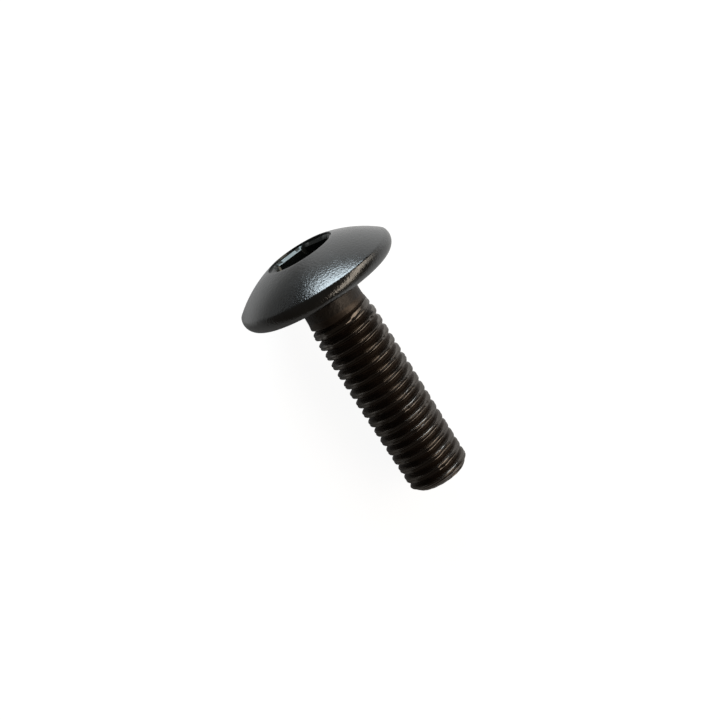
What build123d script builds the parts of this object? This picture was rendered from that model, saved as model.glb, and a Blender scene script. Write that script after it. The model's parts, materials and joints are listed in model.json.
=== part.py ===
from build123d import *
import math
import os

# Button head screw, M6 x 20, with a hexagon socket in a wide domed head.
#
# The screw is one solid. It is made standing on its own axis, and is then laid
# down as it comes to rest on a table: on the rim of its head and on its thread.
#
# While it stands, +Z runs along the axis from head to tip and z = 0 is the flat
# face under the head. Angles turn about +Z from +X. Once the screw lies, its +X
# side is the side that faces up.

# ---- driving dimensions: millimetres, degrees and turns ----

# Shank: neck, lead-in cone, then the outside of the thread, then the end chamfer.
# The fine M6 x 1.0 thread itself is not cut: the shank has its outside diameter.
LENGTH = 19.7
THREAD_D = 5.80
NECK_D = 5.28
NECK_END = 2.10
LEAD_IN = 1.50
NECK_BEVEL = 0.25
TIP_D = 4.70

# Head: domed top, a sharp line round it, a rounded band below, a flat underside.
HEAD_D = 14.42
RIM_Z = -0.95
RIM_ROUND = 1.05
DOME_EDGE_Z = -1.39
DOME_RADIUS = 10.94

# Socket: hexagon for a 5 mm key, with a bevelled mouth and a shallow conical end.
KEY_SIZE = 5.0
SOCKET_DEPTH = 2.30
SOCKET_ANGLE = 9.2
MOUTH_D = 6.17
MOUTH_BEVEL = 45.0
BOTTOM_SLOPE = 15.0

# ---- sizes that follow from them ----

THREAD_R = THREAD_D / 2
NECK_R = NECK_D / 2
TIP_R = TIP_D / 2
CHAMFER_Z = LENGTH - (THREAD_R - TIP_R)

HEAD_R = HEAD_D / 2
RIM_CENTRE_R = HEAD_R - RIM_ROUND


def rim_radius(z):
    """Radius of the rounded band round the head at height z."""
    return RIM_CENTRE_R + math.sqrt(RIM_ROUND**2 - (z - RIM_Z) ** 2)


FACE_R = rim_radius(0)
DOME_EDGE_R = rim_radius(DOME_EDGE_Z)
DOME_CENTRE_Z = DOME_EDGE_Z + math.sqrt(DOME_RADIUS**2 - DOME_EDGE_R**2)
CROWN_Z = DOME_CENTRE_Z - DOME_RADIUS
MOUTH_R = MOUTH_D / 2
MOUTH_Z = DOME_CENTRE_Z - math.sqrt(DOME_RADIUS**2 - MOUTH_R**2)
FLAT_R = KEY_SIZE / 2
CORNER_R = KEY_SIZE / math.sqrt(3)
SOCKET_END_Z = MOUTH_Z + SOCKET_DEPTH
CUTTER_MARGIN = 1.0


def revolved(outline):
    """A solid of revolution about Z from an outline of (radius, z) points."""
    with BuildSketch(Plane.XZ) as section:
        with BuildLine():
            Polyline(*outline, close=True)
        make_face()
    return revolve(section.sketch, Axis.Z)


def head_blank():
    """The head before its socket is sunk: dome, sharp edge, rounded band, flat face."""
    half = math.asin(DOME_EDGE_R / DOME_RADIUS) / 2
    dome_mid = (DOME_RADIUS * math.sin(half), DOME_CENTRE_Z - DOME_RADIUS * math.cos(half))
    with BuildSketch(Plane.XZ) as section:
        with BuildLine():
            ThreePointArc((0, CROWN_Z), dome_mid, (DOME_EDGE_R, DOME_EDGE_Z))
            ThreePointArc((DOME_EDGE_R, DOME_EDGE_Z), (HEAD_R, RIM_Z), (FACE_R, 0))
            Line((FACE_R, 0), (0, 0))
            Line((0, 0), (0, CROWN_Z))
        make_face()
    return revolve(section.sketch, Axis.Z)


def shank():
    """Neck with a small bevel under the head, lead-in cone, threaded length, chamfer."""
    return revolved(
        [
            (0, 0),
            (NECK_R + NECK_BEVEL, 0),
            (NECK_R, NECK_BEVEL),
            (NECK_R, NECK_END),
            (THREAD_R, NECK_END + LEAD_IN),
            (THREAD_R, CHAMFER_Z),
            (TIP_R, LENGTH),
            (0, LENGTH),
        ]
    )


def socket():
    """The space of the hexagon socket: bevelled mouth, six flats, conical end."""
    align = (Align.CENTER, Align.CENTER, Align.MIN)
    top_z = CROWN_Z - CUTTER_MARGIN
    hexagon = RegularPolygon(CORNER_R, 6, rotation=SOCKET_ANGLE)
    flats = extrude(Pos(0, 0, top_z) * hexagon, amount=SOCKET_END_Z - top_z)
    end_height = FLAT_R * math.tan(math.radians(BOTTOM_SLOPE))
    end = Pos(0, 0, SOCKET_END_Z) * Cone(FLAT_R, 0, end_height, align=align)
    bevel_slope = math.tan(math.radians(MOUTH_BEVEL))
    mouth = revolved(
        [
            (0, top_z),
            (MOUTH_R + (MOUTH_Z - top_z) * bevel_slope, top_z),
            (0, MOUTH_Z + MOUTH_R / bevel_slope),
        ]
    )
    return flats + end + mouth


def rest_tilt():
    """How far the axis dips towards the tip, as the screw lies on rim and shank.

    The table is the line from the end of the threaded length that just touches
    the round of the rim, both taken in the upright plane through the axis.
    """
    rise = RIM_CENTRE_R - THREAD_R
    run = CHAMFER_Z - RIM_Z
    return math.degrees(math.atan2(rise, run) + math.asin(RIM_ROUND / math.hypot(rise, run)))


def at_rest(screw):
    """Lays the screw down along +X and centres it on the table plane z = 0."""
    laid = Rot(0, 90 + rest_tilt(), 0) * Rot(0, 0, 180) * screw
    box = laid.bounding_box()
    return Pos(-box.center().X, -box.center().Y, -box.min.Z) * laid


def button_head_screw():
    """The whole screw, lying at rest."""
    return at_rest(head_blank() + shank() - socket())


os.makedirs("parts", exist_ok=True)
export_step(button_head_screw(), "parts/button_head_screw.step")
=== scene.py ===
# %% [markdown]
# # A black button head screw
#
# The screw is one piece of cold-formed steel: a wide domed head with a hexagon
# socket, a short plain neck, and an M6 thread rolled into the shank. It lies on
# a white table, on the rim of its head and on the thread near its tip.
#
# The CAD model gives its place and size. This lesson makes the surface that the
# eye reads: the thread, the edges, the socket and the black satin finish.

# %% Open the frame
import json
import math

import bmesh
import bpy
from mathutils import Matrix, Vector


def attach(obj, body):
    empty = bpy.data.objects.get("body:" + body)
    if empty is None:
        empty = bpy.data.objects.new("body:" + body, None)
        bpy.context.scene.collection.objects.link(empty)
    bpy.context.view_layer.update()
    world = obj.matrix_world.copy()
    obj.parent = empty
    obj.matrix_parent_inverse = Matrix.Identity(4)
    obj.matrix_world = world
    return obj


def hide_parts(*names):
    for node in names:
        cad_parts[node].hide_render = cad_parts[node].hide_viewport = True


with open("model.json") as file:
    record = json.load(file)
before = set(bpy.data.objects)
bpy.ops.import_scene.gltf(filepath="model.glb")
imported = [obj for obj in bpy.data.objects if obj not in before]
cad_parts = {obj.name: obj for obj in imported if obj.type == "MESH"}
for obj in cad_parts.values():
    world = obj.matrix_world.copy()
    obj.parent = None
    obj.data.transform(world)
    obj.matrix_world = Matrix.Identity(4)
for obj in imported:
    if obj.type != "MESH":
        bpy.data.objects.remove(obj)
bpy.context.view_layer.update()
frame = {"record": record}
NODE = "button_head_screw"
MM = 0.001

# %% [markdown]
# ## Where the screw lies
#
# The record names the places where the screw meets other parts. Two of them give
# its axis: the flat face under the head, and the mouth of the socket. Every size
# below is then counted along the axis from the flat face, positive to the tip,
# and every angle is counted round the axis from the side that faces up.
#
# The screw could also be modelled upright and its object turned. But the export
# puts every object back at the origin, unturned, and the finishes would slide on
# it. Instead the mesh itself is laid down, with the matrix PLACE.

# %% The screw's own axes
mounts = {mount["name"]: mount for mount in frame["record"]["mounts"]}
AXIS = Vector(mounts["bearing_face"]["axis"]).normalized()
MOUTH = Vector(mounts["hex_socket"]["pos_m"])
FACE = MOUTH + AXIS * (Vector(mounts["bearing_face"]["pos_m"]) - MOUTH).dot(AXIS)
ACROSS = Vector((0, -1, 0))
UPPER = ACROSS.cross(AXIS)
PLACE = Matrix.Translation(FACE) @ Matrix((UPPER, ACROSS, AXIS)).transposed().to_4x4()
MOUTH_Z = (MOUTH - FACE).dot(AXIS) / MM
THREAD_R = mounts["threaded_shank"]["dims"]["r_mm"]
dip = math.degrees(math.asin(-AXIS.z))
print(f"the axis dips {dip:.2f} degrees; the socket's mouth is {-MOUTH_Z:.2f} mm up the head")

# %% [markdown]
# ## Sizes
#
# All in millimetres and degrees. The head is a dome that ends in a crisp line,
# with a rounded band below it. The shank starts as a plain neck, as thick as the
# blank before its thread was rolled.

# %% Sizes of the head and the shank
HEAD_R = 7.21
RIM_Z = -0.95
RIM_ROUND = 1.05
DOME_EDGE_Z = -1.39
DOME_RADIUS = 10.94

LENGTH = 19.7
NECK_R = 2.64
NECK_FILLET = 0.28
TIP_R = 2.30

# The head's mesh and the shank's mesh meet on the neck at one height, with the
# same number of points round the axis.
JOIN_Z = 1.40
AROUND = 144

RIM_CENTRE_R = HEAD_R - RIM_ROUND


def rim_radius(z):
    """Radius of the rounded band at height z."""
    return RIM_CENTRE_R + math.sqrt(RIM_ROUND**2 - (z - RIM_Z) ** 2)


FACE_R = rim_radius(0)
DOME_EDGE_R = rim_radius(DOME_EDGE_Z)
DOME_CENTRE_Z = DOME_EDGE_Z + math.sqrt(DOME_RADIUS**2 - DOME_EDGE_R**2)
print(f"flat face to {FACE_R:.2f} mm, dome edge at {DOME_EDGE_R:.2f} mm")

# %% Sizes of the socket
MOUTH_R = 3.085
LIP_R = 3.05
LIP_DEPTH = 0.19
KEY_SIZE = 5.0
BEVEL_SIZE = 5.48
SOCKET_DEPTH = 2.30
SOCKET_WALL_DEPTH = 1.6
BOTTOM_SLOPE = 15.0
CORNER_ANGLE = 9.2
bevel_depth = (BEVEL_SIZE - KEY_SIZE) / 2
print(f"socket for a {KEY_SIZE:.0f} mm key, each flat bevelled by {bevel_depth:.2f} mm")

# %% [markdown]
# ## The thread
#
# A screw thread is one groove, rolled round and round the shank. It could be cut
# out with a boolean, but the result has long thin faces that shade badly. Here a
# flat grid is rolled up instead. Each row of the grid climbs one pitch for each
# turn, so the rows run along the crests as the real metal does, and where one
# turn ends the next one starts at the same points. Geometry Nodes work out how
# far each point lies from the axis, from its place in the groove.
#
# Two small helpers keep the sums readable.

# %% Helpers that write sums into a node tree
def calc(tree, operation, *values):
    """Adds one Math node and returns its result. Values are numbers or sockets."""
    node = tree.nodes.new("ShaderNodeMath")
    node.operation = operation
    for socket, value in zip(node.inputs, values):
        if isinstance(value, bpy.types.NodeSocket):
            tree.links.new(value, socket)
        else:
            socket.default_value = value
    return node.outputs[0]


def ramp(tree, value, start, end, low, high):
    """Goes from low at start to high at end, and stays there outside them."""
    node = tree.nodes.new("ShaderNodeMapRange")
    node.clamp = True
    for name, entry in (
        ("Value", value),
        ("From Min", start),
        ("From Max", end),
        ("To Min", low),
        ("To Max", high),
    ):
        socket = node.inputs[name]
        if isinstance(entry, bpy.types.NodeSocket):
            tree.links.new(entry, socket)
        else:
            socket.default_value = entry
    return node.outputs["Result"]


# %% The named sizes that the thread is made from
THREAD_SIZES = {
    # The groove: M6 x 1.0, with flat crests and a rounded root.
    "Pitch": 1.0,
    "Crest radius": THREAD_R,
    "Crest half width": 0.16,
    "Root radius": 2.37,
    "Root rounding": 0.045,
    "Edge rounding": 0.05,
    "Crest height at zero angle": 3.12,
    # The seam along each crest, and the nicks in it.
    "Crest seam depth": 0.07,
    "Crest seam half width": 0.105,
    "Nick depth": 0.05,
    "Nicks per mm": 1.1,
    # Where the neck ends, and how the groove climbs out beside it.
    "Join": JOIN_Z,
    "Neck radius": NECK_R,
    "Neck end": 2.10,
    "Lead-in": 1.65,
    "Full groove from": 2.90,
    "Run-out": 1.10,
    # The last part of the shank.
    "Taper start": 9.0,
    "Taper": 0.08,
    "Tip radius": TIP_R,
    "Length": LENGTH,
}
FLANK_ANGLE = 30.0
print(f"thread: {THREAD_SIZES['Pitch']} mm pitch, {2 * THREAD_R:.2f} mm across its crests")

# %% [markdown]
# ### Rolling up the grid
#
# Each turn of the grid has 28 rows for one pitch. Spread evenly, most of them
# would lie on the plain flanks. A sine moves them towards the crest, where the
# narrow seam and the rounded edges need them. The grid starts a few turns below
# the join and ends beyond the tip. Its rows pile up there and are merged later.

# %% Where each point of the grid goes
ROWS_PER_PITCH = 28
ROW_CROWDING = 0.6
TURNS_BELOW = 3
TURNS_ALONG = 22
FULL_TURN = 2 * math.pi


def grid_places(tree, given):
    """The grid, with each point's turn, the crest's height there, and its own climb."""
    grid = tree.nodes.new("GeometryNodeMeshGrid")
    grid.inputs["Vertices X"].default_value = TURNS_ALONG * ROWS_PER_PITCH + 1
    grid.inputs["Vertices Y"].default_value = AROUND + 1
    # Half a point is added before rounding down, so a sum just short still counts.
    index = tree.nodes.new("GeometryNodeInputIndex").outputs[0]
    row = calc(tree, "FLOOR", calc(tree, "DIVIDE", calc(tree, "ADD", index, 0.5), AROUND + 1))
    column = calc(tree, "SUBTRACT", index, calc(tree, "MULTIPLY", row, AROUND + 1))
    turn = calc(tree, "ADD", calc(tree, "DIVIDE", column, AROUND), CORNER_ANGLE / 360)
    crest = calc(tree, "MULTIPLY_ADD", given["Pitch"], turn, given["Crest height at zero angle"])
    steps = calc(tree, "SUBTRACT", calc(tree, "DIVIDE", row, ROWS_PER_PITCH), TURNS_BELOW)
    crowd = calc(tree, "SINE", calc(tree, "MULTIPLY", steps, FULL_TURN))
    steps = calc(tree, "MULTIPLY_ADD", crowd, -ROW_CROWDING / FULL_TURN, steps)
    climb = calc(tree, "MULTIPLY_ADD", given["Pitch"], steps, crest)
    return grid.outputs["Mesh"], turn, crest, climb


print(f"grid: {TURNS_ALONG * ROWS_PER_PITCH} rows of {AROUND} faces")

# %% [markdown]
# ### The groove
#
# The flanks of a metric thread stand at 30 degrees to a plane across the axis.
# SMOOTH_MAX rounds the root where the two flanks meet. Beside the neck the
# rolling die leaves the metal bit by bit, so each turn of the groove there is
# lifted as a whole, by how near its middle is to the neck.

# %% How deep the groove is
def groove_radius(tree, given, crest, height, run_out_start):
    """The groove's own radius at each point, and how far the point is off the crest."""
    pitch = given["Pitch"]
    past = calc(tree, "SUBTRACT", height, crest)
    off_crest = calc(tree, "PINGPONG", past, calc(tree, "MULTIPLY", pitch, 0.5))
    down_flank = calc(tree, "SUBTRACT", off_crest, given["Crest half width"])
    down_flank = calc(tree, "DIVIDE", down_flank, math.tan(math.radians(FLANK_ANGLE)))
    flank = calc(tree, "SUBTRACT", given["Crest radius"], down_flank)
    floor = calc(tree, "SMOOTH_MAX", flank, given["Root radius"], given["Root rounding"])

    groove = calc(tree, "FLOOR", calc(tree, "DIVIDE", past, pitch))
    middle = calc(tree, "MULTIPLY_ADD", calc(tree, "ADD", groove, 0.5), pitch, crest)
    full_lift = calc(tree, "SUBTRACT", given["Crest radius"], given["Root radius"])
    lift = ramp(tree, middle, run_out_start, given["Full groove from"], full_lift, 0.0)
    return calc(tree, "ADD", floor, lift), off_crest


# %% [markdown]
# ### The outside
#
# The crests do not all reach the same radius. They grow out of the neck along
# the lead-in, narrow a little towards the tip, and end in a chamfer. Rolling
# pushes the metal up from both sides of a crest, and where the two ridges meet
# they leave a fine seam. It is what makes each crest shine as two thin lines.

# %% How far out the crests reach
def outside_radius(tree, given, off_crest, height):
    """The radius that the shank would have without its groove."""
    lead_end = calc(tree, "ADD", given["Neck end"], given["Lead-in"])
    lead_in = tree, height, given["Neck end"], lead_end
    outside = ramp(*lead_in, given["Neck radius"], given["Crest radius"])
    taper = ramp(tree, height, given["Taper start"], given["Length"], 0.0, given["Taper"])
    outside = calc(tree, "SUBTRACT", outside, taper)
    to_end = calc(tree, "SUBTRACT", given["Length"], height)
    chamfer = calc(tree, "ADD", given["Tip radius"], to_end)
    outside = calc(tree, "SMOOTH_MIN", outside, chamfer, given["Edge rounding"])

    in_seam = calc(tree, "DIVIDE", off_crest, given["Crest seam half width"])
    in_seam = calc(tree, "MAXIMUM", calc(tree, "SUBTRACT", 1.0, in_seam), 0.0)
    seam_depth = ramp(*lead_in, 0.0, given["Crest seam depth"])
    return calc(tree, "SUBTRACT", outside, calc(tree, "MULTIPLY", in_seam, seam_depth))


# %% [markdown]
# ### Nicks
#
# Screws knock together in their box, and the crests take the blows. Separate
# dents could be placed by hand. Noise does it for the whole shank at once: it
# leaves the crest whole up to NICK_FROM, and at NICK_TO the nick has its full
# depth, so only the peaks count and the nicks are few and soft.

# %% Nicks in the crests
NICK_FROM = 0.60
NICK_TO = 0.75
NICK_DETAIL = 1.0


def nick_depth(tree, given, around, height):
    """How much a nick takes off at each point, 0 for most of them."""
    round_place = tree.nodes.new("ShaderNodeCombineXYZ")
    tree.links.new(calc(tree, "MULTIPLY", around[0], THREAD_R), round_place.inputs[0])
    tree.links.new(calc(tree, "MULTIPLY", around[1], THREAD_R), round_place.inputs[1])
    tree.links.new(height, round_place.inputs[2])
    knocks = tree.nodes.new("ShaderNodeTexNoise")
    knocks.inputs["Detail"].default_value = NICK_DETAIL
    tree.links.new(given["Nicks per mm"], knocks.inputs["Scale"])
    tree.links.new(round_place.outputs[0], knocks.inputs["Vector"])
    return ramp(tree, knocks.outputs["Fac"], NICK_FROM, NICK_TO, 0.0, given["Nick depth"])


# %% [markdown]
# ### The whole tree
#
# A point lies at the smaller of the two radii, the outside or the groove, with
# the edge between them rounded. At the join both fade to the plain neck. Beyond
# the tip the rows shrink to the middle and so close the end.

# %% Every point's radius, and its place
# Points nearer to each other than this, in millimetres, become one.
WELD = 0.0004


def thread_radius(tree, given, around, crest, climb, height):
    """How far each point lies from the axis."""
    run_out_start = calc(tree, "SUBTRACT", given["Full groove from"], given["Run-out"])
    groove, off_crest = groove_radius(tree, given, crest, height, run_out_start)
    outside = outside_radius(tree, given, off_crest, height)
    outside = calc(tree, "SUBTRACT", outside, nick_depth(tree, given, around, height))
    radius = calc(tree, "SMOOTH_MIN", outside, groove, given["Edge rounding"])
    off_neck = calc(tree, "SUBTRACT", radius, given["Neck radius"])
    past_join = ramp(tree, height, given["Join"], run_out_start, 0.0, 1.0)
    radius = calc(tree, "MULTIPLY_ADD", off_neck, past_join, given["Neck radius"])
    beyond_tip = calc(tree, "SUBTRACT", climb, given["Length"])
    return calc(tree, "MULTIPLY", radius, ramp(tree, beyond_tip, 0.0, given["Pitch"], 1.0, 0.0))


def thread_tree(finish):
    """A node tree that rolls a flat grid up into the threaded shank."""
    tree = bpy.data.node_groups.new("thread", "GeometryNodeTree")
    for name in THREAD_SIZES:
        tree.interface.new_socket(name, in_out="INPUT", socket_type="NodeSocketFloat")
    tree.interface.new_socket("Geometry", in_out="OUTPUT", socket_type="NodeSocketGeometry")
    given = tree.nodes.new("NodeGroupInput").outputs
    grid, turn, crest, climb = grid_places(tree, given)
    height = calc(tree, "MINIMUM", calc(tree, "MAXIMUM", climb, given["Join"]), given["Length"])
    angle = calc(tree, "MULTIPLY", turn, FULL_TURN)
    around = calc(tree, "COSINE", angle), calc(tree, "SINE", angle)
    radius = thread_radius(tree, given, around, crest, climb, height)

    point = tree.nodes.new("ShaderNodeCombineXYZ")
    tree.links.new(calc(tree, "MULTIPLY", radius, around[0]), point.inputs[0])
    tree.links.new(calc(tree, "MULTIPLY", radius, around[1]), point.inputs[1])
    tree.links.new(height, point.inputs[2])
    rolled = tree.nodes.new("GeometryNodeSetPosition")
    tree.links.new(grid, rolled.inputs["Geometry"])
    tree.links.new(point.outputs[0], rolled.inputs["Position"])

    weld = tree.nodes.new("GeometryNodeMergeByDistance")
    weld.inputs["Distance"].default_value = WELD
    real = tree.nodes.new("GeometryNodeRealizeInstances")
    dress = tree.nodes.new("GeometryNodeSetMaterial")
    dress.inputs["Material"].default_value = finish
    out = tree.nodes.new("NodeGroupOutput")
    chain = [rolled, weld, real, dress, out]
    for before, after in zip(chain, chain[1:]):
        tree.links.new(before.outputs[0], after.inputs[0])
    return tree


# %% [markdown]
# ### A plain mesh
#
# The tree runs on a carrier object that has no mesh of its own. Its result is
# kept as a plain mesh, because a modifier that is still live would be lost or
# run again in the export.

# %% Roll the thread and keep it as a plain mesh
def thread_mesh(finish):
    """The threaded shank as a plain mesh, in millimetres on its own axis."""
    tree = thread_tree(finish)
    carrier = bpy.data.objects.new("thread", bpy.data.meshes.new("thread"))
    bpy.context.scene.collection.objects.link(carrier)
    roll = carrier.modifiers.new("thread", "NODES")
    roll.node_group = tree
    for item in tree.interface.items_tree:
        if item.in_out == "INPUT":
            roll[item.identifier] = float(THREAD_SIZES[item.name])
    seen = bpy.context.evaluated_depsgraph_get()
    mesh = bpy.data.meshes.new_from_object(carrier.evaluated_get(seen))
    carrier.modifiers.clear()
    bpy.data.objects.remove(carrier)
    print(f"thread: {len(tree.nodes)} nodes made {len(mesh.polygons)} faces")
    return mesh


# %% [markdown]
# ## The head
#
# The head is turned: one outline goes round the axis. Only the socket is not
# round. So the outline is a list of rings, and each ring has a rule for how far
# it lies from the axis at each angle. A round ring keeps one radius. A socket
# ring follows the hexagon. The rings start at the angle of a hexagon corner, and
# their number of points is a multiple of six, so every corner gets its own edge.

# %% Rings of the head
def round_ring(radius, z):
    """A ring of one radius at one height."""
    return [(radius, z)] * AROUND


def hexagon_radius(step):
    """How far the socket's wall is from the axis at one step round it."""
    from_flat = math.radians((360 * step / AROUND) % 60 - 30)
    return KEY_SIZE / 2 / math.cos(from_flat)


def socket_ring(z, share=1.0):
    """A ring on the socket's wall, or a smaller or larger copy of it."""
    return [(hexagon_radius(step) * share, z) for step in range(AROUND)]


def arc(centre, radius, start, end, count):
    """Points on an arc in the (radius, z) plane, angles from the outward direction."""
    angles = [math.radians(start + (end - start) * i / (count - 1)) for i in range(count)]
    return [
        (centre[0] + radius * math.cos(a), centre[1] + radius * math.sin(a)) for a in angles
    ]


# %% [markdown]
# ### Neck, band and dome
#
# No edge of a real screw is quite sharp. So the band and the dome each stop a
# degree or so short of their shared edge, which leaves a very narrow bevel there.
# The same is done at the socket's mouth and at the edge of the flat face. Two
# rings close to that edge keep the flat face flat up to it.

# %% The outside of the head
# Radii and steps in millimetres, margins in degrees.
FILLET_RINGS = 7
FLAT_RINGS = (3.2, 4.3, 5.4)
FLAT_EDGE_STEPS = (0.25, 0.05)
BAND_RINGS = 22
BAND_MARGIN = (1.0, 1.5)
DOME_RINGS = 30
DOME_MARGIN = (0.3, 0.4)


def outside_rings():
    """Rings from the neck, out over the flat face, round the band and up the dome."""
    rings = [round_ring(NECK_R, JOIN_Z), round_ring(NECK_R, 0.5 * (JOIN_Z + NECK_FILLET))]
    fillet_centre = NECK_R + NECK_FILLET, NECK_FILLET
    fillet = arc(fillet_centre, NECK_FILLET, 180, 270, FILLET_RINGS)
    rings += [round_ring(*point) for point in fillet]
    rings += [round_ring(radius, 0) for radius in FLAT_RINGS]
    rings += [round_ring(FACE_R - step, 0) for step in FLAT_EDGE_STEPS]
    low = math.degrees(math.asin((0 - RIM_Z) / RIM_ROUND)) - BAND_MARGIN[0]
    high = math.degrees(math.asin((DOME_EDGE_Z - RIM_Z) / RIM_ROUND)) + BAND_MARGIN[1]
    band = arc((RIM_CENTRE_R, RIM_Z), RIM_ROUND, low, high, BAND_RINGS)
    rings += [round_ring(*point) for point in band]
    edge = math.degrees(math.asin(DOME_EDGE_R / DOME_RADIUS)) - 90 - DOME_MARGIN[0]
    mouth = math.degrees(math.asin(MOUTH_R / DOME_RADIUS)) - 90 + DOME_MARGIN[1]
    dome = arc((0, DOME_CENTRE_Z), DOME_RADIUS, edge, mouth, DOME_RINGS)
    return rings + [round_ring(*point) for point in dome]


print(f"outside of the head: {len(outside_rings())} rings")

# %% [markdown]
# ### The socket
#
# The punch that makes the socket leaves a steep round lip at the mouth. Below it
# each of the six flats starts with a 45 degree bevel, to lead the key in. A cone
# would be simpler, but a flat bevel is what catches the light as one straight
# streak. The bottom is a shallow point with six sides, made of smaller and
# smaller copies of the hexagon.

# %% The inside of the head
# Small steps inwards and downwards that round the socket's edges, in millimetres,
# and the size of each ring on its bottom as a share of the hexagon.
MOUTH_EDGE = (0.015, 0.02)
LIP_EDGE = 0.02
BOTTOM_EDGE = 0.05
BOTTOM_SHARES = (0.97, 0.75, 0.5, 0.25, 0.05)


def inside_rings():
    """Rings from the socket's mouth down to the middle of its bottom."""
    mouth_z = DOME_CENTRE_Z - math.sqrt(DOME_RADIUS**2 - MOUTH_R**2)
    bevel_z = mouth_z + LIP_DEPTH + LIP_EDGE
    end_z = mouth_z + SOCKET_DEPTH
    rings = [round_ring(MOUTH_R - MOUTH_EDGE[0], mouth_z + MOUTH_EDGE[1])]
    rings.append(round_ring(LIP_R, mouth_z + LIP_DEPTH))
    wide = socket_ring(bevel_z, BEVEL_SIZE / KEY_SIZE)
    rings.append([(min(radius, LIP_R - LIP_EDGE), z) for radius, z in wide])
    wall = (bevel_z + bevel_depth, mouth_z + SOCKET_WALL_DEPTH, end_z - BOTTOM_EDGE)
    rings += [socket_ring(z) for z in wall]
    slope = math.tan(math.radians(BOTTOM_SLOPE))
    for share in BOTTOM_SHARES:
        rings.append(socket_ring(end_z + (1 - share) * KEY_SIZE / 2 * slope, share))
    return rings


print(f"socket: {len(inside_rings())} rings")

# %% [markdown]
# ### Turning the rings into faces
#
# Each pair of rings is joined by a strip of faces. The strip also says which of
# the finishes it gets, because the socket, the head and the neck each look
# different although they are one skin.

# %% Turn the head
HEAD_FINISH, THREAD_FINISH, SOCKET_FINISH, NECK_FINISH, GROOVE_FINISH = range(5)


def finish_at(lower, upper):
    """Which finish the strip between two rings has: their radius and height tell."""
    radius = max(lower[0][0], upper[0][0])
    z = 0.5 * (lower[0][1] + upper[0][1])
    if z > 0 and radius <= NECK_R + NECK_FILLET:
        return NECK_FINISH
    if z > MOUTH_Z and radius < MOUTH_R:
        return SOCKET_FINISH
    return HEAD_FINISH


def head_mesh():
    """The head as a mesh in millimetres, open only at the neck."""
    build = bmesh.new()
    rings = outside_rings() + inside_rings()
    loops = []
    for ring in rings:
        loop = []
        for step, (radius, z) in enumerate(ring):
            angle = math.radians(CORNER_ANGLE) + FULL_TURN * step / AROUND
            loop.append(build.verts.new((radius * math.cos(angle), radius * math.sin(angle), z)))
        loops.append(loop)
    for number, (lower, upper) in enumerate(zip(loops, loops[1:])):
        finish = finish_at(rings[number], rings[number + 1])
        for step in range(AROUND):
            after = (step + 1) % AROUND
            face = build.faces.new((lower[step], lower[after], upper[after], upper[step]))
            face.material_index = finish
    build.faces.new(loops[-1]).material_index = SOCKET_FINISH
    mesh = bpy.data.meshes.new("head")
    build.to_mesh(mesh)
    build.free()
    print(f"head: {len(rings)} rings made {len(mesh.polygons)} faces")
    return mesh


# %% [markdown]
# ## One closed skin
#
# The real screw is one piece, so its skin is one mesh. The neck ring of the head
# and the first ring of the shank have the same points, and merging them closes
# the skin. The grooves, where oil and dirt stay, get a duller finish than the
# crests, and so does the neck. Then the skin is scaled to metres and laid in its
# place.

# %% Which finish a face of the shank has
# The neck's finish ends at this height, and a groove's begins below this radius.
# The chamfer at the tip is as low as a groove, but knocks keep it clean.
NECK_FINISH_END = 1.95
GROOVE_FINISH_R = 2.70
CHAMFER_LENGTH = 0.2


def shank_finish(place):
    """The finish of a face of the shank, from where its middle is."""
    if place.z < NECK_FINISH_END:
        return NECK_FINISH
    if place.z < LENGTH - CHAMFER_LENGTH and place.xy.length < GROOVE_FINISH_R:
        return GROOVE_FINISH
    return THREAD_FINISH


# %% Join the head and the shank
SLIVER = 0.0001
SHARP_ANGLE = 38.0


def screw_skin(finish):
    """The whole skin as a closed bmesh, in the frame's own place."""
    build = bmesh.new()
    build.from_mesh(head_mesh())
    head_faces = len(build.faces)
    build.from_mesh(thread_mesh(finish))
    build.faces.ensure_lookup_table()
    for face in build.faces[head_faces:]:
        face.material_index = shank_finish(face.calc_center_median())
    bmesh.ops.remove_doubles(build, verts=build.verts, dist=WELD)
    bmesh.ops.dissolve_degenerate(build, edges=build.edges, dist=SLIVER)
    bmesh.ops.recalc_face_normals(build, faces=build.faces)
    bmesh.ops.scale(build, vec=(MM, MM, MM), verts=build.verts)
    bmesh.ops.transform(build, matrix=PLACE, verts=build.verts)
    open_edges = [edge for edge in build.edges if len(edge.link_faces) != 2]
    triangles = sum(len(face.verts) - 2 for face in build.faces)
    volume = build.calc_volume(signed=True) / MM**3
    print(f"screw: {triangles} triangles, {len(open_edges)} open edges, {volume:.0f} mm3")
    return build


def screw_piece(finishes):
    """The whole screw as one object, with its finishes in the order of their numbers."""
    build = screw_skin(finishes[THREAD_FINISH])
    mesh = bpy.data.meshes.new("screw")
    build.to_mesh(mesh)
    build.free()
    mesh.shade_smooth()
    mesh.set_sharp_from_angle(angle=math.radians(SHARP_ANGLE))
    for finish in finishes:
        mesh.materials.append(finish)
    piece = bpy.data.objects.new("screw", mesh)
    bpy.context.scene.collection.objects.link(piece)
    return piece


# %% [markdown]
# ## Black satin finish
#
# Black oxide is not paint: it turns the skin of the steel itself into magnetite,
# a black and rather shiny mineral. Its index of refraction is high, about 2.2, so
# even a black screw shows its surroundings well. The skin keeps the fine grain of
# the forged blank, which breaks every highlight into specks.
#
# The grain and the mottling are node groups, since all five finishes use them.
# The grain is a bump, because dents of a few hundredths of a millimetre would
# need millions of faces. Both read Object coordinates, so they stay where they
# are on the steel.

# %% A shader group for the grain
GRAIN_DETAIL = 2.0
GRAIN_ROUGHNESS = 0.55


def group_socket(tree, name, kind, value, direction="INPUT"):
    """Adds one named socket to a node group."""
    socket = tree.interface.new_socket(name, in_out=direction, socket_type="NodeSocket" + kind)
    if value is not None:
        socket.default_value = value


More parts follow.
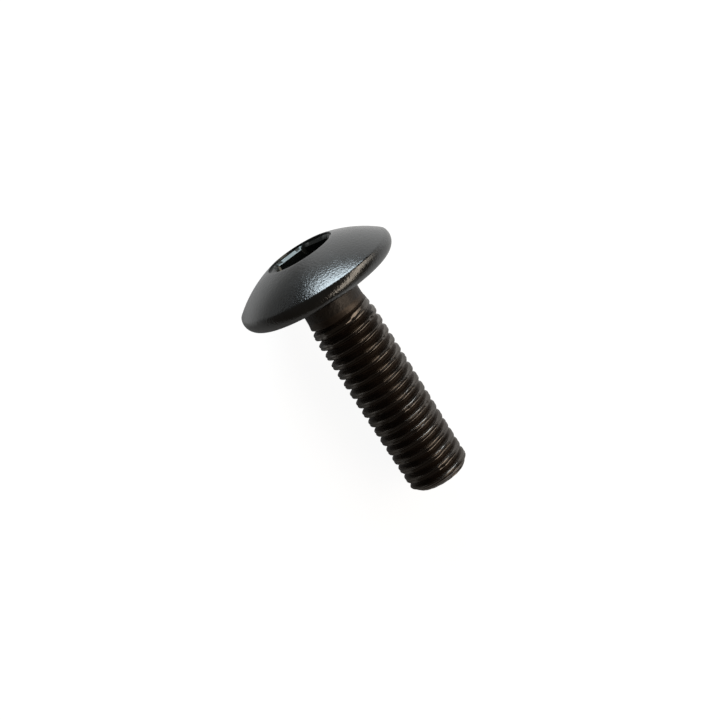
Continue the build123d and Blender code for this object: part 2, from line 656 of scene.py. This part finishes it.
def grain_group():
    """Fine dents of one size, given as a normal."""
    tree = bpy.data.node_groups.new("forged_grain", "ShaderNodeTree")
    group_socket(tree, "Position", "Vector", None)
    group_socket(tree, "Grains per metre", "Float", 5000.0)
    group_socket(tree, "Depth", "Float", 0.00001)
    group_socket(tree, "Normal", "Vector", None, "OUTPUT")
    given = tree.nodes.new("NodeGroupInput").outputs
    noise = tree.nodes.new("ShaderNodeTexNoise")
    noise.inputs["Detail"].default_value = GRAIN_DETAIL
    noise.inputs["Roughness"].default_value = GRAIN_ROUGHNESS
    bump = tree.nodes.new("ShaderNodeBump")
    out = tree.nodes.new("NodeGroupOutput")
    tree.links.new(given["Position"], noise.inputs["Vector"])
    tree.links.new(given["Grains per metre"], noise.inputs["Scale"])
    tree.links.new(given["Depth"], bump.inputs["Distance"])
    tree.links.new(noise.outputs["Fac"], bump.inputs["Height"])
    tree.links.new(bump.outputs["Normal"], out.inputs["Normal"])
    return tree


GRAIN = grain_group()
print(f"{GRAIN.name}: {len(GRAIN.nodes)} nodes")

# %% A shader group for the mottling
MOTTLE_DETAIL = 4.0
MOTTLE_RANGE = (0.35, 0.65)


def mottle_group():
    """Soft patches, given as a value from 0 to 1."""
    tree = bpy.data.node_groups.new("oxide_mottling", "ShaderNodeTree")
    group_socket(tree, "Position", "Vector", None)
    group_socket(tree, "Patches per metre", "Float", 700.0)
    group_socket(tree, "Patch", "Float", None, "OUTPUT")
    given = tree.nodes.new("NodeGroupInput").outputs
    noise = tree.nodes.new("ShaderNodeTexNoise")
    noise.inputs["Detail"].default_value = MOTTLE_DETAIL
    out = tree.nodes.new("NodeGroupOutput")
    tree.links.new(given["Position"], noise.inputs["Vector"])
    tree.links.new(given["Patches per metre"], noise.inputs["Scale"])
    patch = ramp(tree, noise.outputs["Fac"], *MOTTLE_RANGE, 0.0, 1.0)
    tree.links.new(patch, out.inputs["Patch"])
    return tree


MOTTLE = mottle_group()
print(f"{MOTTLE.name}: {len(MOTTLE.nodes)} nodes")

# %% [markdown]
# ### Five finishes of one skin
#
# The same oxide looks different from place to place. The head has the coarse
# grain of the die and mirrors the room coldly. The thread is smoother, since the
# rolling pressed it, and warmer, with a thin film of oil. The socket is cleaner
# and duller inside. On the neck and in the grooves the film is thick and holds
# dirt, so they are rough and weak in their reflections.
#
# A weaker reflection is given by a lower index, and a warmer one by the tint of
# the specular light, because the base colour of a black thing hardly shows.

# %% How one finish is made
def black_oxide(name, dark, light, rough, tint, grains, depth, index):
    """Black oxide steel. dark and light are the patches, rough the range of gloss."""
    finish = bpy.data.materials.new(name)
    finish.use_nodes = True
    tree = finish.node_tree
    shader = tree.nodes["Principled BSDF"]
    shader.inputs["IOR"].default_value = index
    shader.inputs["Specular Tint"].default_value = (*tint, 1)
    place = tree.nodes.new("ShaderNodeTexCoord").outputs["Object"]
    grain = tree.nodes.new("ShaderNodeGroup")
    grain.node_tree = GRAIN
    grain.inputs["Grains per metre"].default_value = grains
    grain.inputs["Depth"].default_value = depth
    mottle = tree.nodes.new("ShaderNodeGroup")
    mottle.node_tree = MOTTLE
    tree.links.new(place, grain.inputs["Position"])
    tree.links.new(place, mottle.inputs["Position"])
    colour = tree.nodes.new("ShaderNodeMix")
    colour.data_type = "RGBA"
    colour.inputs["A"].default_value = (*dark, 1)
    colour.inputs["B"].default_value = (*light, 1)
    tree.links.new(mottle.outputs["Patch"], colour.inputs["Factor"])
    tree.links.new(colour.outputs["Result"], shader.inputs["Base Color"])
    gloss = ramp(tree, mottle.outputs["Patch"], 0.0, 1.0, *rough)
    tree.links.new(gloss, shader.inputs["Roughness"])
    tree.links.new(grain.outputs["Normal"], shader.inputs["Normal"])
    return finish


# %% The values of each finish
# Colours from dark to light patches, roughness over the same patches, the tint
# of the reflection, grains per metre and their depth in metres, and the index.
OXIDES = {
    HEAD_FINISH: {
        "name": "black_head",
        "dark": (0.005, 0.005, 0.005),
        "light": (0.009, 0.009, 0.009),
        "rough": (0.18, 0.25),
        "tint": (0.96, 0.99, 1.0),
        "grains": 5200,
        "depth": 0.000026,
        "index": 2.2,
    },
    THREAD_FINISH: {
        "name": "black_thread",
        "dark": (0.003, 0.002, 0.002),
        "light": (0.008, 0.005, 0.004),
        "rough": (0.17, 0.23),
        "tint": (1.0, 0.91, 0.82),
        "grains": 6000,
        "depth": 0.000006,
        "index": 2.2,
    },
    SOCKET_FINISH: {
        "name": "black_socket",
        "dark": (0.004, 0.005, 0.005),
        "light": (0.006, 0.007, 0.006),
        "rough": (0.20, 0.26),
        "tint": (0.92, 1.0, 0.98),
        "grains": 5000,
        "depth": 0.00001,
        "index": 1.75,
    },
    NECK_FINISH: {
        "name": "black_neck",
        "dark": (0.003, 0.002, 0.002),
        "light": (0.014, 0.010, 0.006),
        "rough": (0.42, 0.60),
        "tint": (1.0, 0.94, 0.90),
        "grains": 2400,
        "depth": 0.00006,
        "index": 1.72,
    },
    GROOVE_FINISH: {
        "name": "black_groove",
        "dark": (0.006, 0.003, 0.002),
        "light": (0.014, 0.008, 0.005),
        "rough": (0.42, 0.55),
        "tint": (1.0, 0.86, 0.74),
        "grains": 4000,
        "depth": 0.000014,
        "index": 1.85,
    },
}
finishes = [black_oxide(**OXIDES[number]) for number in sorted(OXIDES)]
print("finishes:", [finish.name for finish in finishes])

# %% [markdown]
# ### The screw, dressed
#
# The screw stands for the CAD solid, which stays for collision but is hidden. It
# rides on the one body that the part has.

# %% Make the screw and tie it to the frame
screw = screw_piece(finishes)
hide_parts(NODE)
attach(screw, "root")

# %% [markdown]
# ## The table
#
# The screw lies on a plain white table that fades into a white room. A white
# table of that brightness would also throw its light up on the screw and turn
# the black steel grey. So the table is a dull grey for all light that falls on
# it, and its white is a glow that only the camera sees. It is a little weaker
# near the screw, which leaves a hint of a shadow.
#
# Polished steel would still mirror a table that looks black. What it mirrors
# here is a second glow, for glossy rays alone, with light and shade painted into
# it. A real table is lit by the lamps, so the glow is painted strong on the side
# of the lamps, strongest beside the head, and weak on the far side, as a painted
# shadow of the screw. A small painted pool of light lies before the dome. All of
# it fades away from the screw.

# %% The glow of the table
# Each range reads: from here, to here, this glow, that glow. Places in metres.
TABLE_SIDE = 2.0
TABLE_GREY = 0.3
WHITE_NEAR_TO_FAR = (0.03, 0.09, 0.93, 1.0)
# These ranges paint the lamps' light and the screw's shadow into the glow that steel mirrors.
LAMP_SIDE_HEAD_TO_TIP = (-0.012, -0.004, 0.66, 0.38)
SHADE_TO_LAMP_SIDE = (-0.005, 0.003)
SHADE_GLOW = 0.06
SIDE_NEAR_TO_FAR = (0.02, 0.07, 1.0, 0.45)
BEFORE_HEAD = (-0.014, -0.007, 0.45, 0.0)
BEFORE_HEAD_NEAR_TO_FAR = (0.02, 0.04, 1.0, 0.0)


def painted_table_light(tree, place, away):
    """What polished steel sees of the table: painted lamp light, and a painted shadow of the
    screw.
    """
    x, y = place.outputs["X"], place.outputs["Y"]
    lamp_side = ramp(tree, x, *LAMP_SIDE_HEAD_TO_TIP)
    side = ramp(tree, y, *SHADE_TO_LAMP_SIDE, SHADE_GLOW, lamp_side)
    side = calc(tree, "MULTIPLY", side, ramp(tree, away, *SIDE_NEAR_TO_FAR))
    front = ramp(tree, x, *BEFORE_HEAD)
    front = calc(tree, "MULTIPLY", front, ramp(tree, away, *BEFORE_HEAD_NEAR_TO_FAR))
    return calc(tree, "MAXIMUM", side, front)


def white_table():
    """A dull grey that the camera sees as white, and steel as a table with painted lamp light
    and shadow.
    """
    white = bpy.data.materials.new("white_table")
    white.use_nodes = True
    tree = white.node_tree
    shader = tree.nodes["Principled BSDF"]
    shader.inputs["Base Color"].default_value = (TABLE_GREY, TABLE_GREY, TABLE_GREY, 1)
    shader.inputs["Roughness"].default_value = 1.0
    shader.inputs["Specular IOR Level"].default_value = 0.0
    shader.inputs["Emission Color"].default_value = (1, 1, 1, 1)
    position = tree.nodes.new("ShaderNodeTexCoord").outputs["Object"]
    place = tree.nodes.new("ShaderNodeSeparateXYZ")
    tree.links.new(position, place.inputs[0])
    distance = tree.nodes.new("ShaderNodeVectorMath")
    distance.operation = "LENGTH"
    tree.links.new(position, distance.inputs[0])
    away = distance.outputs["Value"]
    path = tree.nodes.new("ShaderNodeLightPath")
    straight = ramp(tree, away, *WHITE_NEAR_TO_FAR)
    straight = calc(tree, "MULTIPLY", path.outputs["Is Camera Ray"], straight)
    # Glossy rays see the table's painted lamp light and painted shadow.
    mirrored = painted_table_light(tree, place, away)
    mirrored = calc(tree, "MULTIPLY", path.outputs["Is Glossy Ray"], mirrored)
    seen = calc(tree, "ADD", straight, mirrored)
    tree.links.new(seen, shader.inputs["Emission Strength"])
    return white


# %% Lay the table
def table_top():
    """A large white table under the screw."""
    side = TABLE_SIDE
    mesh = bpy.data.meshes.new("table")
    corners = [(-side, -side, 0), (side, -side, 0), (side, side, 0), (-side, side, 0)]
    mesh.from_pydata(corners, [], [(0, 1, 2, 3)])
    mesh.materials.append(white_table())
    table = bpy.data.objects.new("table", mesh)
    bpy.context.scene.collection.objects.link(table)
    return table


table = table_top()
print(f"{table.name}: {2 * TABLE_SIDE:.0f} m across")

# %% [markdown]
# ## Light
#
# Three soft panels, each given by where it stands as seen from the screw, how
# wide and high it looks from there in degrees, and its brightness. Given so, a
# panel can be moved or resized, and what a mirror shows of it stays as bright.
#
# The head panel is the cool window before the dome: it makes the large soft
# highlight and the streak in the socket. The side panel is a long narrow strip
# that draws the thin lines along the crests and the one on the band. The low
# panel fills the flanks a little. Both of these are warm.

# %% Lights
LIGHT_DISTANCE = 0.5
PANELS = {
    "head_panel": {
        "azimuth": 165, "elevation": 20.5, "width": 40, "height": 26,
        "brightness": 6.3, "tint": (0.82, 0.93, 1.0),
    },
    "side_panel": {
        "azimuth": 62, "elevation": 43, "width": 84, "height": 21,
        "brightness": 2.3, "tint": (1.0, 0.85, 0.70),
    },
    "low_panel": {
        "azimuth": 98, "elevation": 20, "width": 30, "height": 26,
        "brightness": 1.0, "tint": (1.0, 0.90, 0.78),
    },
}


def soft_light(name, azimuth, elevation, width, height, brightness, tint):
    """A soft panel turned to the screw. Angles in degrees."""
    turn, rise = math.radians(azimuth), math.radians(elevation)
    level = math.cos(rise)
    away = Vector((math.cos(turn) * level, math.sin(turn) * level, math.sin(rise)))
    panel = bpy.data.lights.new(name, "AREA")
    panel.shape = "RECTANGLE"
    panel.size = 2 * LIGHT_DISTANCE * math.tan(math.radians(width / 2))
    panel.size_y = 2 * LIGHT_DISTANCE * math.tan(math.radians(height / 2))
    panel.energy = brightness * math.pi * panel.size * panel.size_y
    panel.color = tint
    piece = bpy.data.objects.new(name, panel)
    piece.location = away * LIGHT_DISTANCE
    piece.rotation_euler = away.to_track_quat("Z", "Y").to_euler()
    piece.visible_camera = False
    bpy.context.scene.collection.objects.link(piece)
    print(f"{name}: {panel.size:.2f} by {panel.size_y:.2f} m, {panel.energy:.2f} W")
    return piece


for name, values in PANELS.items():
    soft_light(name, **values)

# %% [markdown]
# ## The room
#
# Around the table is a dim, slightly warm room, which keeps the shaded side of
# the screw from going quite black. The camera sees it white, like the table, so
# the table has no visible end.

# %% The room
ROOM_LEVEL = 0.04
ROOM_TINT = (1.0, 0.85, 0.70, 1)
WHITE = (1, 1, 1, 1)


def room():
    """A dim warm room that the camera sees white."""
    world = bpy.data.worlds.new("room")
    bpy.context.scene.world = world
    world.use_nodes = True
    tree = world.node_tree
    background = tree.nodes["Background"]
    seen = tree.nodes.new("ShaderNodeLightPath").outputs["Is Camera Ray"]
    tint = tree.nodes.new("ShaderNodeMix")
    tint.data_type = "RGBA"
    tint.inputs["A"].default_value = ROOM_TINT
    tint.inputs["B"].default_value = WHITE
    tree.links.new(seen, tint.inputs["Factor"])
    tree.links.new(tint.outputs["Result"], background.inputs["Color"])
    strength = ramp(tree, seen, 0.0, 1.0, ROOM_LEVEL, 1.0)
    tree.links.new(strength, background.inputs["Strength"])


room()
print(f"room: {ROOM_LEVEL} as bright as white")

# %% [markdown]
# ## Camera
#
# The camera looks down on the screw from about a hand's length away, turned so
# that the shank runs from the upper left to the lower right. It is set by angles,
# and by a lens whose length is given in points of the picture. The camera is
# then moved until one mark, 10 mm down the shank, stands at its place in a
# square picture of 720 points. That way the lean and the roll can be tried
# without losing the screw from view.

# %% Camera
PICTURE_PX = 720
SENSOR_WIDTH = 36
FOCAL_PX = 1762.0
REACH = 150.5 * MM
ROLL = 57.44
LEAN = 15.33 - dip
MARK = FACE + AXIS * 10 * MM
MARK_PX = (383.4, 384.1)
CLIP_START = 0.01


def camera_at_mark():
    """The camera, with the mark on the shank at its place in the picture."""
    lean, roll = math.radians(LEAN), math.radians(ROLL)
    looking = Vector((math.sin(lean), 0, -math.cos(lean)))
    level = Vector((math.cos(lean), 0, math.sin(lean)))
    side = Vector((0, 1, 0))
    right = math.cos(roll) * level + math.sin(roll) * side
    up = -math.sin(roll) * level + math.cos(roll) * side
    off_x = (MARK_PX[0] - PICTURE_PX / 2) * REACH / FOCAL_PX
    off_y = (MARK_PX[1] - PICTURE_PX / 2) * REACH / FOCAL_PX
    camera = bpy.data.objects.new("camera", bpy.data.cameras.new("camera"))
    place = MARK - looking * REACH - right * off_x + up * off_y
    turn = Matrix((right, up, -looking)).transposed().to_4x4()
    camera.matrix_world = Matrix.Translation(place) @ turn
    camera.data.sensor_fit = "HORIZONTAL"
    camera.data.sensor_width = SENSOR_WIDTH
    camera.data.lens = SENSOR_WIDTH * FOCAL_PX / PICTURE_PX
    camera.data.clip_start = CLIP_START
    bpy.context.scene.collection.objects.link(camera)
    bpy.context.scene.camera = camera
    return camera


camera = camera_at_mark()
bpy.context.scene.view_settings.view_transform = "Standard"
print(f"camera: {camera.data.lens:.1f} mm lens, {REACH / MM:.0f} mm from the mark")
